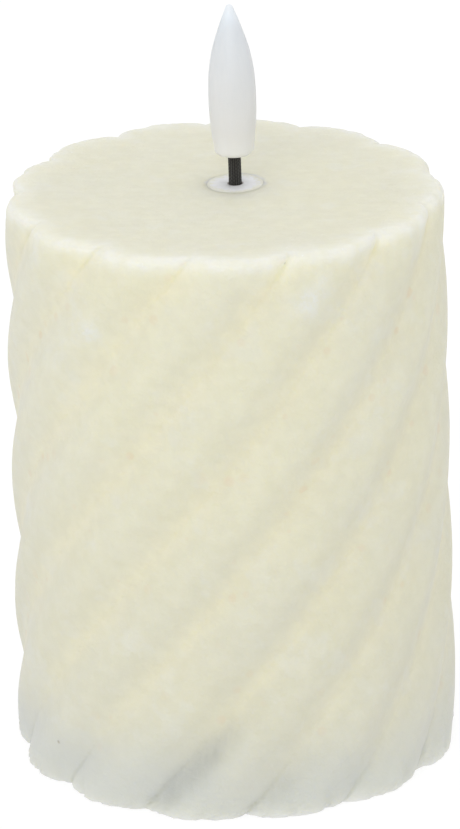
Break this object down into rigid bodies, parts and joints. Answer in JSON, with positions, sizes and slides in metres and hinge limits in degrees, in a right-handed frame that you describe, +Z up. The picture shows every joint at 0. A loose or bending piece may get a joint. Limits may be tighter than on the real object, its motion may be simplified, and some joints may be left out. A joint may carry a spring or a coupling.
{
  "type": "flameless led candle",
  "caption": "Twisted, scalloped wax pillar candle with a bullet-shaped flame cap on a black wick and a battery base with hinged door and slide switch.",
  "frame": {"origin": "centre of the round foot of the pillar, at the level it stands on", "axes": "+Z up along the pillar, -Y is the front, +X is the candle's right as seen from the front; the battery door's hinge is at +Y"},
  "size_m": [0.0768, 0.0768, 0.1317],
  "materials": {
    "ivory_wax": "satin",
    "collar_plastic": "matte",
    "wick_sleeve": "matte",
    "led_lens": "gloss",
    "flame_plastic": "satin",
    "tinned_wire": "satin",
    "heat_shrink": "satin",
    "red_insulation": "satin",
    "black_insulation": "satin",
    "base_plastic": "satin",
    "screw_steel": "satin",
    "cell_can": "satin",
    "contact_metal": "satin",
    "spring_wire": "satin",
    "circuit_board": "satin",
    "chip_epoxy": "matte",
    "capacitor_sleeve": "satin",
    "resistor_body": "satin",
    "tinned_can": "satin",
    "switch_metal": "satin",
    "slider_plastic": "satin"
  },
  "bodies": {
    "candle": {"wax_pillar": "ivory_wax", "wick_collar": "collar_plastic", "wick_sleeve": "wick_sleeve", "flame_led": "led_lens", "flame_cap": "flame_plastic", "led_legs": "tinned_wire", "splice_sleeves": "heat_shrink", "led_lead_red": "red_insulation", "led_lead_black": "black_insulation", "base_housing": "base_plastic", "housing_cover": "base_plastic", "cover_screws": "screw_steel", "negative_plate": "contact_metal", "positive_plate": "contact_metal", "bridge_plate": "contact_metal", "negative_spring": "spring_wire", "bridge_spring": "spring_wire", "control_board": "circuit_board", "board_screws": "screw_steel", "timer_chip": "chip_epoxy", "smoothing_capacitor": "capacitor_sleeve", "timing_resistor": "resistor_body", "clock_crystal": "tinned_can", "switch_case": "switch_metal", "battery_lead_red": "red_insulation", "battery_lead_black": "black_insulation"},
    "door": {"battery_door": "base_plastic"},
    "cell_1": {"battery_cell_1": "cell_can"},
    "cell_2": {"battery_cell_2": "cell_can"},
    "slider": {"switch_slider": "slider_plastic"}
  },
  "joints": [
    {"name": "battery_door_hinge", "type": "hinge", "parent": "candle", "child": "door", "pos_m": [0, 0.0169, 0.00195], "axis": [1, 0, 0], "range_deg": [0, 95]},
    {"name": "cell_1_slide", "type": "slide", "parent": "candle", "child": "cell_1", "axis": [0, 0, -1], "range_m": [0, 0.013]},
    {"name": "cell_2_slide", "type": "slide", "parent": "candle", "child": "cell_2", "axis": [0, 0, -1], "range_m": [0, 0.013]},
    {"name": "switch_slide", "type": "slide", "parent": "candle", "child": "slider", "axis": [1, 0, 0], "range_m": [-0.002, 0.002]}
  ],
  "couplings": [
    {"joint": "cell_1_slide", "follows": "battery_door_hinge", "m_per_rad": 0.0078},
    {"joint": "cell_2_slide", "follows": "battery_door_hinge", "m_per_rad": 0.0078}
  ]
}
